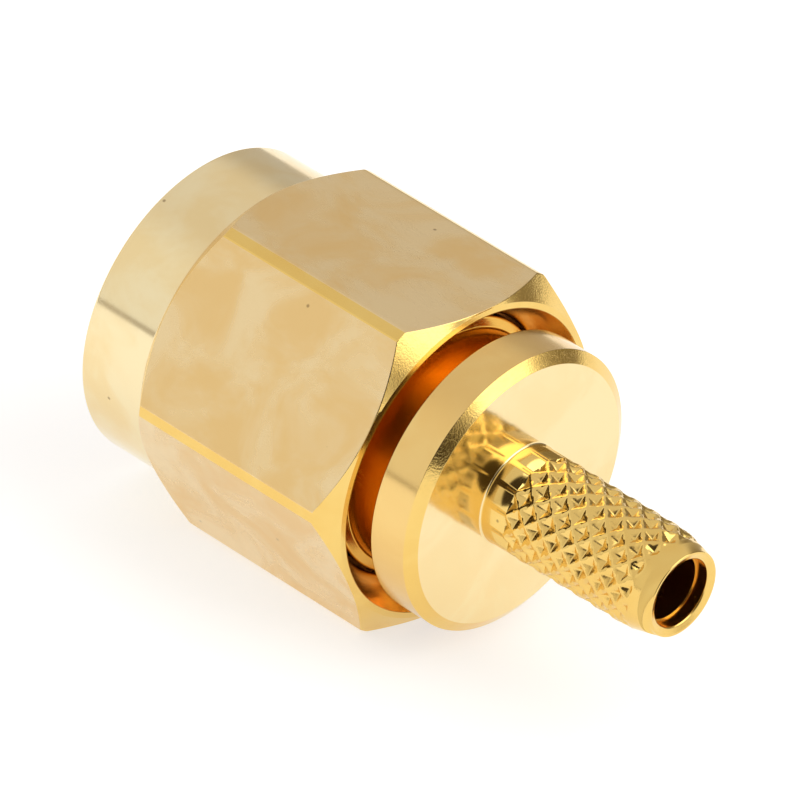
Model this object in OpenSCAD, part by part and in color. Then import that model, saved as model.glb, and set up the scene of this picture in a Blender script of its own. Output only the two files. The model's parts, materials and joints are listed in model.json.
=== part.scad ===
// Straight coaxial crimp plug with a hexagonal coupling nut.
// The origin is on the axis at the mating plane, where the outer contact sleeve ends.
// +X runs towards the cable, -X towards the mating half, +Z is square to one flat of the nut.

/* [Coupling nut] */
// Distance across the flats of the hexagon
across_flats = 8.0; // [7.8:0.1:9]
// Diameter over the turned-down corners of the hexagon
corner_d = 9.08; // [8.8:0.02:9.1]
// Diameter of the round collar in front of the hexagon
collar_d = 7.76; // [7.4:0.02:7.76]
// Reach of the nut in front of the mating plane
nut_front = 2.52; // [2.3:0.02:2.8]
// Reach of the nut behind the mating plane
nut_rear = 5.9; // [5.8:0.05:6]
// Where the front chamfer meets the middle of a flat, in front of the mating plane
hex_front = 0.49; // [0.3:0.01:0.8]
// Angle of the front chamfer, from a plane square to the axis
front_chamfer_angle = 42; // [30:1:50]
// Angle of the rear chamfer, from a plane square to the axis
rear_chamfer_angle = 37; // [25:1:45]
// Outer diameter of the thin rim at the rear face
rear_rim_d = 7.93; // [7.8:0.01:7.98]
// Minor diameter of the internal thread
thread_minor_d = 5.74; // [5.72:0.01:5.78]
// Major diameter of the internal thread
thread_major_d = 6.35; // [6.3:0.05:6.4]
// End of the thread behind the mating plane
thread_end = 1.55; // [1.3:0.05:1.6]
// Diameter of the smooth bore behind the thread
nut_bore_d = 6.6; // [6.58:0.01:6.62]
// Diameter of the rear mouth of that bore
mouth_d = 7.64; // [7.3:0.02:7.7]
// Length of the cone between the bore and its rear mouth
mouth_length = 0.9; // [0.5:0.05:1.1]

/* [Plug body] */
// Outer diameter of the contact sleeve
sleeve_d = 4.59; // [4.56:0.01:4.6]
// Inner diameter of the contact sleeve, around the insulator
sleeve_bore_d = 4.1; // [4.0:0.02:4.14]
// Length of the contact sleeve, up to the seat of the gasket
sleeve_length = 1.95; // [1.9:0.01:2]
// Diameter of the seat that the gasket fits round
gasket_seat_d = 4.9; // [4.86:0.01:4.96]
// Place of the shoulder behind the gasket
shoulder_x = 2.7; // [2.6:0.05:2.8]
// Diameter of the lands that guide the nut
land_d = 6.44; // [6.4:0.01:6.5]
// Rear end of the guide land
land_end = 5.05; // [4.6:0.05:5.2]
// Diameter of the neck between the land and the flange
neck_d = 5.9; // [5.4:0.1:6.2]
// Diameter of the flange
flange_d = 7.06; // [6.8:0.02:7.2]
// Front face of the flange
flange_front = 6.37; // [6.3:0.01:6.5]
// Rear face of the flange
flange_rear = 7.58; // [7.4:0.02:7.8]
// Radial width of the chamfer at the rear of the flange
flange_chamfer = 0.28; // [0.1:0.02:0.4]
// Axial length of that chamfer
flange_chamfer_length = 0.19; // [0.1:0.01:0.3]

/* [Crimp stem] */
// Diameter of the plain stretch next to the flange
stem_d = 2.5; // [2.48:0.01:2.52]
// Length of the plain stretch
stem_plain = 0.7; // [0.5:0.05:0.9]
// Diameter over the ridges of the knurl
knurl_d = 2.53; // [2.53:0.01:2.6]
// Depth of the pits between the ridges
knurl_depth = 0.13; // [0.05:0.01:0.16]
// Ridge crossings round the stem
knurl_around = 14; // [10:1:18]
// Distance between crossings along the axis
knurl_pitch = 0.58; // [0.5:0.01:0.6]
// Half pitches along the knurl, an odd number
knurl_rows = 13; // [9:2:13]
// Share of each diamond that its pit takes
pit_share = 0.8; // [0.6:0.05:0.9]
// Where the taper at the stem's end begins
taper_start = 11.85; // [11.6:0.05:11.95]
// End of the stem
stem_end = 12.65; // [12.5:0.05:12.8]
// Diameter at the stem's end face
stem_end_d = 2.12; // [2.06:0.02:2.2]
// Diameter of the bore that the cable core goes through
cable_bore_d = 1.6; // [1.6:0.01:1.64]
// Diameter of the wider stretch behind its mouth
mouth_bore_d = 1.7; // [1.68:0.02:1.8]
// Length of that wider stretch
mouth_bore_length = 0.38; // [0.3:0.02:0.6]
// Depth of the chamfer at the mouth
mouth_chamfer = 0.07; // [0.04:0.01:0.1]

/* [Inside] */
// Rear end of the insulators and of the bore that holds them
insulator_end = 5.6; // [5.2:0.1:5.8]
// Where the front insulator meets the rear one
insulator_joint = 3.2; // [3:0.1:3.6]
// Diameter of the mating pin
pin_d = 0.92; // [0.9:0.01:0.94]
// Reach of the mating pin in front of the mating plane
pin_reach = 2.0; // [1.8:0.05:2.2]
// Length of the cone at the tip of the pin
pin_tip = 0.35; // [0.2:0.05:0.5]
// Diameter of the contact behind the mating plane
contact_d = 1.27; // [1.2:0.01:1.3]
// Diameter of the collar that the two insulators hold between them
collar_contact_d = 1.94; // [1.94:0.02:2.2]
// Width of that collar
collar_contact_width = 0.4; // [0.3:0.05:0.6]
// Diameter of the cup that the cable's wire is soldered in
cup_d = 0.6; // [0.5:0.05:0.8]
// Depth of that cup
cup_depth = 1.9; // [1.5:0.1:2.2]
// Outer diameter of the gasket
gasket_d = 6.1; // [5.9:0.05:6.2]
// Thickness of the gasket
gasket_thickness = 0.9; // [0.8:0.05:0.92]

/* [Retaining ring] */
// Middle of the ring along the axis
ring_x = 3.55; // [3.53:0.01:3.6]
// Width of the ring along the axis
ring_width = 0.4; // [0.3:0.01:0.42]
// Outer diameter of the ring as it sits in the nut
ring_d = 7.16; // [7.1:0.02:7.2]
// Inner diameter of the ring
ring_bore_d = 6.0; // [5.9:0.02:6.04]
// Angle of the slit in the ring
ring_slit = 14; // [8:1:30]

/* [Play] */
// Travel of the nut towards the mating half
play_front = 0.12; // [0.05:0.01:0.14]
// Travel of the nut towards the cable
play_rear = 0.13; // [0.05:0.01:0.14]

/* [Hidden] */
$fn = 96;
gold = [0.90, 0.72, 0.38];
pale_gold = [0.94, 0.80, 0.50];
copper = [0.80, 0.52, 0.30];
cream = [0.93, 0.92, 0.88];
brick = [0.72, 0.24, 0.14];

// Small clearances, edge breaks and overlaps
slack = 0.01;
ring_side_slack = 0.02;
ring_floor_slack = 0.04;
edge = 0.05;
lip = 0.08;
past = 1;
bury = 0.02;

// Turned groove in the plug body, as wide as the ring and its travel
groove_front = ring_x - ring_width / 2 - play_front - slack * 1.5;
groove_rear = ring_x + ring_width / 2 + play_rear + slack * 1.5;
groove_d = 5.7;

// Radius of the stem at x, which tapers at its end
taper_slope = (stem_d - stem_end_d) / 2 / (stem_end - taper_start);
function stem_r(x) = x < taper_start ? stem_d / 2 : stem_d / 2 - (x - taper_start) * taper_slope;

knurl_front = flange_rear + stem_plain;
knurl_end = knurl_front + knurl_rows * knurl_pitch / 2;
knurl_inner_r = 0.95;
core_r = 1.03;

// A solid of revolution round the X axis, from points given as [radius, x]
module turned(profile) {
    rotate([0, 90, 0]) rotate_extrude() polygon(profile);
}

// A hexagonal bar with two of its flats square to Z
module hex_bar(width, from, to) {
    translate([from, 0, 0]) rotate([30, 0, 0]) rotate([0, 90, 0])
        cylinder(d = width / cos(30), h = to - from, $fn = 6);
}

// Outline of the nut before its flats are milled: collar, two chamfers and rounded corners
module nut_blank() {
    corner_r = corner_d / 2;
    collar_r = collar_d / 2;
    flat_r = across_flats / 2;
    front_slope = tan(front_chamfer_angle);
    rear_slope = tan(rear_chamfer_angle);
    turned([
        [0, -nut_front],
        [collar_r - lip, -nut_front],
        [collar_r, lip - nut_front],
        [collar_r, -hex_front - (flat_r - collar_r) * front_slope],
        [corner_r, -hex_front + (corner_r - flat_r) * front_slope],
        [corner_r, nut_rear - (corner_r - rear_rim_d / 2) * rear_slope],
        [rear_rim_d / 2, nut_rear],
        [0, nut_rear]
    ]);
}

// Everything bored out of the nut: thread, smooth bore, ring groove and rear mouth
module nut_bores() {
    minor_r = thread_minor_d / 2;
    major_r = thread_major_d / 2;
    bore_r = nut_bore_d / 2;
    groove_r = ring_d / 2 + ring_floor_slack;
    ring_front = ring_x - ring_width / 2 - ring_side_slack;
    ring_rear = ring_x + ring_width / 2 + ring_side_slack;
    turned([
        [0, -nut_front - past],
        [major_r + edge, -nut_front - past],
        [major_r + edge, -nut_front],
        [minor_r, major_r + edge - minor_r - nut_front],
        [minor_r, thread_end],
        [bore_r, thread_end],
        [bore_r, ring_front],
        [groove_r, ring_front],
        [groove_r, ring_rear],
        [bore_r, ring_rear],
        [bore_r, nut_rear - mouth_length],
        [mouth_d / 2, nut_rear],
        [mouth_d / 2, nut_rear + past],
        [0, nut_rear + past]
    ]);
}

module coupling_nut() {
    color(gold) difference() {
        intersection() {
            hex_bar(across_flats, -nut_front - past, nut_rear + past);
            nut_blank();
        }
        nut_bores();
    }
}

// The split ring that joins the nut to the body, its slit turned to +Z
module retaining_ring() {
    color(copper) rotate([0, 90, 0]) rotate([0, 0, 180 + ring_slit / 2])
        rotate_extrude(angle = 360 - ring_slit)
            translate([ring_bore_d / 2, ring_x - ring_width / 2])
                square([(ring_d - ring_bore_d) / 2, ring_width]);
}

// Body without its knurl: contact sleeve, gasket seat, guide lands, neck, flange and stem
module body_core() {
    sleeve_r = sleeve_d / 2;
    land_r = land_d / 2;
    flange_r = flange_d / 2;
    turned([
        [sleeve_bore_d / 2, 0],
        [sleeve_r - edge, 0],
        [sleeve_r, edge],
        [sleeve_r, sleeve_length],
        [gasket_seat_d / 2, sleeve_length],
        [gasket_seat_d / 2, shoulder_x],
        [land_r - edge * 2, shoulder_x],
        [land_r, shoulder_x + edge * 2],
        [land_r, groove_front],
        [groove_d / 2, groove_front],
        [groove_d / 2, groove_rear],
        [land_r, groove_rear],
        [land_r, land_end],
        [neck_d / 2, land_end + edge],
        [neck_d / 2, flange_front],
        [flange_r - edge, flange_front],
        [flange_r, flange_front + edge],
        [flange_r, flange_rear - flange_chamfer_length],
        [flange_r - flange_chamfer, flange_rear],
        [stem_d / 2 + edge, flange_rear],
        [stem_d / 2, flange_rear + edge],
        [stem_d / 2, knurl_front + bury],
        [core_r, knurl_front + bury],
        [core_r, knurl_end - bury],
        [stem_r(knurl_end - bury), knurl_end - bury],
        [stem_end_d / 2, stem_end],
        [mouth_bore_d / 2 + mouth_chamfer * 2, stem_end],
        [mouth_bore_d / 2, stem_end - mouth_chamfer],
        [mouth_bore_d / 2, stem_end - mouth_bore_length],
        [cable_bore_d / 2, stem_end - mouth_bore_length],
        [cable_bore_d / 2, insulator_end],
        [sleeve_bore_d / 2, insulator_end]
    ]);
}

// The knurl is laid out on half steps: i counts them round the stem and j along it.
// Ridges cross where i + j is even, and a pit lies where it is odd.
function knurl_x(j) = knurl_front + j * knurl_pitch / 2;
function knurl_r(j) = stem_r(knurl_x(j)) + (knurl_d - stem_d) / 2;
function on_stem(i, j, r) = let (a = 180 * i / knurl_around) [knurl_x(j), r * sin(a), r * cos(a)];
function around(i) = (i + 2 * knurl_around) % (2 * knurl_around);
function crossing(i, j) = on_stem(around(i), j, knurl_r(j));
function pit(i, j) = on_stem(i, j, knurl_r(j) - knurl_depth);
function lip_of(i, j, di, dj) = on_stem(i + di * pit_share, j + dj * pit_share, knurl_r(j + dj * pit_share));
function inside(i, j) = on_stem(around(i), j, knurl_inner_r);

// One quarter of a diamond: a facet of its pit and the ridge beside it, as three triangles
function quarter(i, j, a, b) = let (
    c = pit(i, j), p = lip_of(i, j, a[0], a[1]), q = lip_of(i, j, b[0], b[1]),
    far_p = crossing(i + a[0], j + a[1]), far_q = crossing(i + b[0], j + b[1])
) [[c, p, q], [p, far_p, far_q], [p, far_q, q]];

EAST = [1, 0];
NORTH = [0, 1];
WEST = [-1, 0];
SOUTH = [0, -1];
pit_angles = [for (i = [0 : 2 * knurl_around - 1]) i];

module knurl_band() {
    full = [for (j = [1 : knurl_rows - 1], i = pit_angles) if ((i + j) % 2 == 1)
        each concat(quarter(i, j, NORTH, EAST), quarter(i, j, EAST, SOUTH),
                    quarter(i, j, SOUTH, WEST), quarter(i, j, WEST, NORTH))];
    front = [for (i = pit_angles) if (i % 2 == 1)
        each concat(quarter(i, 0, NORTH, EAST), quarter(i, 0, WEST, NORTH),
            let (w = inside(i - 1, 0), e = inside(i + 1, 0), c = pit(i, 0),
                 lw = lip_of(i, 0, -1, 0), le = lip_of(i, 0, 1, 0))
            [[w, lw, crossing(i - 1, 0)], [w, c, lw], [w, e, c], [e, le, c], [e, crossing(i + 1, 0), le]])];
    last = knurl_rows;
    rear = [for (i = pit_angles) if (i % 2 == 0)
        let (w = crossing(i - 1, last), e = crossing(i + 1, last),
             iw = inside(i - 1, last), ie = inside(i + 1, last))
        each [[w, e, crossing(i, last - 1)], [w, iw, ie], [w, ie, e]]];
    lining = [for (i = pit_angles) if (i % 2 == 0)
        each [[inside(i, 0), inside(i + 2, 0), inside(i + 1, last)],
              [inside(i + 2, 0), inside(i + 3, last), inside(i + 1, last)]]];
    triangles = concat(full, front, rear, lining);
    polyhedron(
        points = [for (t = triangles) each t],
        faces = [for (k = [0 : len(triangles) - 1]) [3 * k, 3 * k + 1, 3 * k + 2]]
    );
}

module plug_body() {
    color(pale_gold) union() {
        body_core();
        knurl_band();
    }
}

// Both insulators are tubes round the contact; the front one has a recess for its collar
insulator_r = sleeve_bore_d / 2 - slack;
insulator_hole_r = contact_d / 2 + slack;
contact_rear = insulator_end - 0.2;

module front_insulator() {
    recess_r = collar_contact_d / 2 + slack;
    recess_x = insulator_joint - collar_contact_width - slack;
    color(cream) turned([
        [insulator_hole_r, 0],
        [insulator_r - edge, 0],
        [insulator_r, edge],
        [insulator_r, insulator_joint],
        [recess_r, insulator_joint],
        [recess_r, recess_x],
        [insulator_hole_r, recess_x]
    ]);
}

module rear_insulator() {
    front_x = insulator_joint + slack;
    rear_x = insulator_end - slack;
    color(cream) turned([
        [insulator_hole_r, front_x],
        [insulator_r, front_x],
        [insulator_r, rear_x],
        [insulator_hole_r, rear_x]
    ]);
}

module centre_contact() {
    color(gold) turned([
        [0, -pin_reach],
        [pin_d / 8, -pin_reach],
        [pin_d / 2, pin_tip - pin_reach],
        [pin_d / 2, 0],
        [contact_d / 2, 0],
        [contact_d / 2, insulator_joint - collar_contact_width],
        [collar_contact_d / 2, insulator_joint - collar_contact_width],
        [collar_contact_d / 2, insulator_joint],
        [contact_d / 2, insulator_joint],
        [contact_d / 2, contact_rear],
        [cup_d / 2, contact_rear],
        [cup_d / 2, contact_rear - cup_depth],
        [0, contact_rear - cup_depth - cup_d / 4]
    ]);
}

module gasket() {
    inner_r = gasket_seat_d / 2 + slack;
    front_x = shoulder_x - gasket_thickness;
    color(brick) turned([
        [inner_r, front_x],
        [gasket_d / 2 - edge, front_x],
        [gasket_d / 2, front_x + edge],
        [gasket_d / 2, shoulder_x - edge],
        [gasket_d / 2 - edge, shoulder_x - slack],
        [inner_r, shoulder_x - slack]
    ]);
}

plug_body();
front_insulator();
rear_insulator();
centre_contact();
gasket();
retaining_ring();
coupling_nut();
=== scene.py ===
"""Looks of a gold-plated coaxial crimp plug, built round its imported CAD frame.

Every length below is in millimetres unless a name says otherwise. Meshes are made in
millimetres in the CAD frame (+X along the axis towards the cable, +Z up) and scaled to
metres as they are stored.
"""

import json
import logging
import math
from collections.abc import Callable, Sequence
from dataclasses import dataclass, field
from enum import Enum

import bmesh
import bpy
import numpy as np
from mathutils import Matrix, Vector


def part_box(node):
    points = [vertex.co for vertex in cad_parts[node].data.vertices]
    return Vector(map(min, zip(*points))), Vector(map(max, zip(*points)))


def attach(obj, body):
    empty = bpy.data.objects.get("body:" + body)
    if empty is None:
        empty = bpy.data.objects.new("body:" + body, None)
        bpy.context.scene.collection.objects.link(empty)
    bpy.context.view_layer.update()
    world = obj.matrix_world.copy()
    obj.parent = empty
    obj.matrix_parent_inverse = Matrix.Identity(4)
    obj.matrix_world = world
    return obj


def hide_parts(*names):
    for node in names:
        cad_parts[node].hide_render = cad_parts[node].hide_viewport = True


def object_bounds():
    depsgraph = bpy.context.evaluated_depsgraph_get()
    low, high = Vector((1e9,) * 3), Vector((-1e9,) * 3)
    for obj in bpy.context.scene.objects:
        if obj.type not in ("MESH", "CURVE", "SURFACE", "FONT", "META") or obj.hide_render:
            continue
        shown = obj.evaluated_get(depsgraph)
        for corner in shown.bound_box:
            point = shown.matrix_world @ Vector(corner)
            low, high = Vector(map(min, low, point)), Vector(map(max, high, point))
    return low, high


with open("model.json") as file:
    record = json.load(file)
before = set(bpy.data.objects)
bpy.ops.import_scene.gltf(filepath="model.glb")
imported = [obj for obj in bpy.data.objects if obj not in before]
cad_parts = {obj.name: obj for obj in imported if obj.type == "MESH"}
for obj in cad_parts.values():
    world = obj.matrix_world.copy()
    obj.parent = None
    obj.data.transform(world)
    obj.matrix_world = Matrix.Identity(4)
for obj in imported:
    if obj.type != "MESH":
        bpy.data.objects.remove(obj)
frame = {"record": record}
CAD_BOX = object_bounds()

METRES = 0.001  # one millimetre in metres
ARC_STEPS = 5  # faces across a rounded corner
EASE_SHARE = 0.42  # most of a side that the rounding of one corner takes
SUPPORT = 0.012  # width of the narrow face beside a rounded corner
SUPPORT_SHARE = 0.07  # most of a side that such a face takes
TWO_PI = 2 * math.pi
SIDE_TURN = math.pi / 3  # angle from one flat of the nut to the next
log = logging.getLogger("plug")

Triple = tuple[float, float, float]
Colour = Triple
Node = bpy.types.Node
NodeTree = bpy.types.NodeTree
Socket = bpy.types.NodeSocket
Material = bpy.types.Material
Object = bpy.types.Object


# --- Measures taken from the frame ---
def node_box(node: str) -> tuple[np.ndarray, np.ndarray]:
    """Box of a CAD node.

    Args:
        node: name of the node.

    Returns:
        Its lowest and highest corners, in millimetres.
    """
    low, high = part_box(node)
    return np.array(low) / METRES, np.array(high) / METRES


def mount_radius(name: str) -> float:
    """Radius of a mount in the record.

    Args:
        name: name of the mount.

    Returns:
        Its radius in millimetres.
    """
    mounts = {mount["name"]: mount for mount in frame["record"]["mounts"]}
    return mounts[name]["dims"]["r_mm"]


# --- Outlines and meshes ---
class Face(Enum):
    """What a stretch of surface is, which decides its finish, and on some kinds a paler or darker
    gold colour that is painted light or shade.
    """

    POLISHED = "polished"
    FLAT = "flat"
    COLLAR = "collar"
    FLANGE = "flange"
    CHAMFER = "chamfer"
    MIRROR = "mirror"
    KNURL = "knurl"
    BORE = "bore"


Finishes = dict[Face, Material]


@dataclass(frozen=True)
class Corner:
    """A corner of a turned outline.

    Attributes:
        x: place along the axis.
        r: distance from the axis.
        ease: radius that the corner is rounded with.
        face: what the stretch that starts here is.
    """

    x: float
    r: float
    ease: float = 0.0
    face: Face = Face.POLISHED


@dataclass(frozen=True)
class Station:
    """One point of a finished outline.

    Attributes:
        x: place along the axis.
        r: distance from the axis.
        face: what the stretch that starts here is.
    """

    x: float
    r: float
    face: Face


def eased_corner(before: Corner, corner: Corner, after: Corner) -> list[Station]:
    """Rounds one corner of an outline.

    Args:
        before: the corner before it.
        corner: the corner to round.
        after: the corner after it.

    Returns:
        The stations of the rounded corner, with one more just outside each end.
    """
    if corner.ease <= 0:
        return [Station(corner.x, corner.r, corner.face)]
    here = np.array((corner.x, corner.r))
    back = np.array((before.x, before.r)) - here
    ahead = np.array((after.x, after.r)) - here
    back_length, ahead_length = np.linalg.norm(back), np.linalg.norm(ahead)
    back, ahead = back / back_length, ahead / ahead_length
    half = math.acos(float(np.clip(back @ ahead, -1, 1))) / 2
    reach = min(corner.ease / math.tan(half), EASE_SHARE * back_length, EASE_SHARE * ahead_length)
    centre = here + (back + ahead) / np.linalg.norm(back + ahead) * reach / math.cos(half)
    start, end = here + back * reach, here + ahead * reach
    first = math.atan2(*(start - centre)[::-1])
    turn = (math.atan2(*(end - centre)[::-1]) - first + math.pi) % TWO_PI - math.pi
    radius = reach * math.tan(half)
    lead = min(SUPPORT, SUPPORT_SHARE * back_length)
    trail = min(SUPPORT, SUPPORT_SHARE * ahead_length)
    stations = [Station(*(start + back * lead), before.face)]
    for step in range(ARC_STEPS + 1):
        angle = first + turn * step / ARC_STEPS
        point = centre + radius * np.array((math.cos(angle), math.sin(angle)))
        stations.append(Station(*point, before.face if step < ARC_STEPS / 2 else corner.face))
    stations.append(Station(*(end + ahead * trail), corner.face))
    return stations


def eased_outline(corners: Sequence[Corner], closed: bool = True) -> list[Station]:
    """Rounds every corner of an outline that asks for it.

    Args:
        corners: the outline's corners in order.
        closed: whether the last corner joins the first.

    Returns:
        The outline's stations in order.
    """
    count = len(corners)
    stations: list[Station] = []
    for k, corner in enumerate(corners):
        if not closed and k in (0, count - 1):
            stations.append(Station(corner.x, corner.r, corner.face))
            continue
        stations += eased_corner(corners[k - 1], corner, corners[(k + 1) % count])
    return stations


def rectangle(front: float, rear: float, inner: float, outer: float, ease: float) -> list[Corner]:
    """Outline of a plain ring or tube.

    Args:
        front: its front face.
        rear: its rear face.
        inner: radius of its hole.
        outer: its outer radius.
        ease: radius that its edges are rounded with.

    Returns:
        The four corners in order.
    """
    places = ((front, inner), (front, outer), (rear, outer), (rear, inner))
    return [Corner(x, r, ease) for x, r in places]


def ring_points(x: np.ndarray, r: np.ndarray, angles: np.ndarray) -> np.ndarray:
    """Points round the axis.

    Args:
        x: places along the axis, one for each angle.
        r: distances from the axis, one for each angle.
        angles: angles from +Z towards -Y, in radians.

    Returns:
        One row of x, y and z for each angle.
    """
    return np.column_stack((x, -r * np.sin(angles), r * np.cos(angles)))


@dataclass
class Turning:
    """Rings of points round the axis, joined one to the next into a mesh.

    Attributes:
        name: name of the finished piece.
        points: the rings' points.
        faces: point numbers of each face.
        kinds: the kind of surface of each face.
    """

    name: str
    points: list[np.ndarray] = field(default_factory=list)
    faces: list[tuple[int, ...]] = field(default_factory=list)
    kinds: list[Face] = field(default_factory=list)

    def ring(self, points: np.ndarray) -> int:
        """Adds a ring.

        Args:
            points: its points in order round the axis.

        Returns:
            The ring's number.
        """
        self.points.append(points)
        return len(self.points) - 1

    def join(
        self, first: int, second: int, kind: Callable[[int], Face] | Face, lean: int = -1,
    ) -> None:
        """Joins two rings with a band of faces.

        Args:
            first: number of one ring.
            second: number of the ring beside it.
            kind: kind of surface, or a function that gives it for each place in the ring.
            lean: -1 for four-sided faces. Where the second ring is turned by half a step,
                0 if it is ahead of the first ring and 1 if it is behind.
        """
        count = len(self.points[first])
        a, b = first * count, second * count
        for i in range(count):
            after = (i + 1) % count
            face = kind if isinstance(kind, Face) else kind(i)
            if lean < 0:
                self.faces.append((a + i, a + after, b + after, b + i))
                self.kinds.append(face)
                continue
            mid = b + i if lean == 0 else b + after
            far = b + after if lean == 0 else b + i
            self.faces.append((a + i, a + after, mid))
            self.faces.append((a + after, far, mid) if lean == 0 else (a + i, mid, far))
            self.kinds += [face, face]

    def cap(self, ring: int, kind: Face) -> None:
        """Closes a ring with one face.

        Args:
            ring: number of the ring.
            kind: kind of surface.
        """
        count = len(self.points[ring])
        self.faces.append(tuple(range(ring * count, (ring + 1) * count)))
        self.kinds.append(kind)

    def build(self, finishes: Finishes) -> Object:
        """Makes the mesh object.

        Args:
            finishes: the material of each kind of surface.

        Returns:
            The object, smooth shaded, with its normals outward.
        """
        used = [kind for kind in Face if kind in set(self.kinds)]
        mesh = bpy.data.meshes.new(self.name)
        mesh.from_pydata(np.concatenate(self.points) * METRES, [], self.faces)
        for kind in used:
            mesh.materials.append(finishes[kind])
        mesh.polygons.foreach_set("material_index", [used.index(kind) for kind in self.kinds])
        shell = bmesh.new()
        shell.from_mesh(mesh)
        bmesh.ops.recalc_face_normals(shell, faces=shell.faces)
        shell.to_mesh(mesh)
        shell.free()
        mesh.shade_smooth()
        piece = bpy.data.objects.new(self.name, mesh)
        bpy.context.scene.collection.objects.link(piece)
        return piece


def turned_piece(
    name: str, corners: Sequence[Corner], finishes: Finishes, sides: int, closed: bool = True,
) -> Object:
    """Makes a plain turned piece from its outline.

    Args:
        name: name of the piece.
        corners: corners of its outline.
        finishes: the material of each kind of surface.
        sides: points in each ring.
        closed: whether the outline's last corner joins the first; if not, each end is capped.

    Returns:
        The piece.
    """
    turning = Turning(name)
    angles = np.arange(sides) * TWO_PI / sides
    stations = eased_outline(corners, closed)
    for station in stations:
        turning.ring(ring_points(np.full(sides, station.x), np.full(sides, station.r), angles))
    for k in range(len(stations) - 1):
        turning.join(k, k + 1, stations[k].face)
    if closed:
        turning.join(len(stations) - 1, 0, stations[-1].face)
    else:
        turning.cap(0, stations[0].face)
        turning.cap(len(stations) - 1, stations[-1].face)
    return turning.build(finishes)


# --- Materials ---
class Tree:
    """A short way to add nodes to a node tree and to link them."""

    def __init__(self, tree: NodeTree) -> None:
        """Starts on a node tree.

        Args:
            tree: the tree to add nodes to.
        """
        self.tree = tree

    def node(self, kind: str, settings: dict[str, object] | None = None, **inputs: object) -> Node:
        """Adds a node.

        Args:
            kind: the node's type, without its ShaderNode prefix.
            settings: properties of the node.
            inputs: socket values or sockets to link, by name with _ for a space.

        Returns:
            The node.
        """
        made = self.tree.nodes.new(kind if kind.startswith("Node") else "ShaderNode" + kind)
        for key, value in (settings or {}).items():
            setattr(made, key, value)
        for key, value in inputs.items():
            self.feed(made.inputs[key.replace("_", " ")], value)
        return made

    def feed(self, socket: Socket, value: object) -> None:
        """Sets a socket, or links it if the value is a socket.

        Args:
            socket: the input socket.
            value: its value, or the output socket to link to it.
        """
        if isinstance(value, Socket):
            self.tree.links.new(value, socket)
        else:
            socket.default_value = value

    def math(self, operation: str, *values: object) -> Socket:
        """Adds a Math node.

        Args:
            operation: its operation.
            values: its inputs in order.

        Returns:
            Its output.
        """
        made = self.node("Math", {"operation": operation})
        for socket, value in zip(made.inputs, values):
            self.feed(socket, value)
        return made.outputs[0]

    def vector(self, operation: str, first: object, second: object) -> Socket:
        """Adds a Vector Math node.

        Args:
            operation: its operation.
            first: its first vector.
            second: its second vector.

        Returns:
            Its output.
        """
        made = self.node("VectorMath", {"operation": operation})
        self.feed(made.inputs[0], first)
        self.feed(made.inputs[1], second)
        return made.outputs["Vector"]

    def fade(
        self, value: object, low: float, high: float, to_low: float = 0.0, to_high: float = 1.0,
    ) -> Socket:
        """Maps a value smoothly from one range to another.

        Args:
            value: the value.
            low: where the range starts.
            high: where it ends.
            to_low: what the start becomes.
            to_high: what the end becomes.

        Returns:
            The mapped value.
        """
        made = self.node("MapRange", {"interpolation_type": "SMOOTHSTEP"}, Value=value)
        limits = {"From Min": low, "From Max": high, "To Min": to_low, "To Max": to_high}
        for key, number in limits.items():
            made.inputs[key].default_value = number
        return made.outputs["Result"]

    def mix(self, share: object, first: object, second: object) -> Socket:
        """Mixes two colours.

        Args:
            share: how much of the second colour.
            first: the first colour.
            second: the second colour.

        Returns:
            The mixed colour.
        """
        made = self.node("Mix", {"data_type": "RGBA"})
        for key, value in (("Factor_Float", share), ("A_Color", first), ("B_Color", second)):
            socket = next(s for s in made.inputs if s.identifier == key)
            self.feed(socket, value)
        return next(s for s in made.outputs if s.identifier == "Result_Color")


def new_group(name: str, inputs: dict[str, str], outputs: dict[str, str]) -> tuple[Tree, Node, Node]:
    """Starts a shader node group.

    Args:
        name: the group's name.
        inputs: socket types of its inputs, by name.
        outputs: socket types of its outputs, by name.

    Returns:
        The tree, its input node and its output node.
    """
    group = bpy.data.node_groups.new(name, "ShaderNodeTree")
    for side, sockets in (("INPUT", inputs), ("OUTPUT", outputs)):
        for label, kind in sockets.items():
            group.interface.new_socket(name=label, in_out=side, socket_type="NodeSocket" + kind)
    tree = Tree(group)
    return tree, tree.node("NodeGroupInput"), tree.node("NodeGroupOutput")


def axial_place_group() -> NodeTree:
    """Makes the group that gives a point's place in millimetres.

    Returns:
        A group with outputs Place (x, y, z) and Turned (along the axis, out from it, round it).
    """
    tree, _, out = new_group("axial_place", {}, {"Place": "Vector", "Turned": "Vector"})
    own = tree.node("TexCoord").outputs["Object"]
    place = tree.vector("MULTIPLY", own, (1 / METRES,) * 3)
    parts = tree.node("SeparateXYZ", Vector=place)
    y, z = parts.outputs["Y"], parts.outputs["Z"]
    squares = [tree.math("MULTIPLY", side, side) for side in (y, z)]
    radius = tree.math("SQRT", tree.math("ADD", *squares))
    angle = tree.math("ARCTAN2", y, z)
    turned = tree.node("CombineXYZ", X=parts.outputs["X"], Y=radius, Z=angle)
    tree.feed(out.inputs["Place"], place)
    tree.feed(out.inputs["Turned"], turned.outputs[0])
    return tree.tree


def streaks_group() -> NodeTree:
    """Makes the group for drawn-out tool lines.

    Returns:
        A group with inputs Vector and Stretch and an output Height from 0 to 1.
    """
    tree, source, out = new_group(
        "tool_streaks", {"Vector": "Vector", "Stretch": "Vector"}, {"Height": "Float"})
    drawn = tree.vector("MULTIPLY", source.outputs["Vector"], source.outputs["Stretch"])
    noise = tree.node("TexNoise", Vector=drawn, Scale=1.0, Detail=4.0, Roughness=0.6)
    tree.feed(out.inputs["Height"], noise.outputs["Fac"])
    return tree.tree


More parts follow.
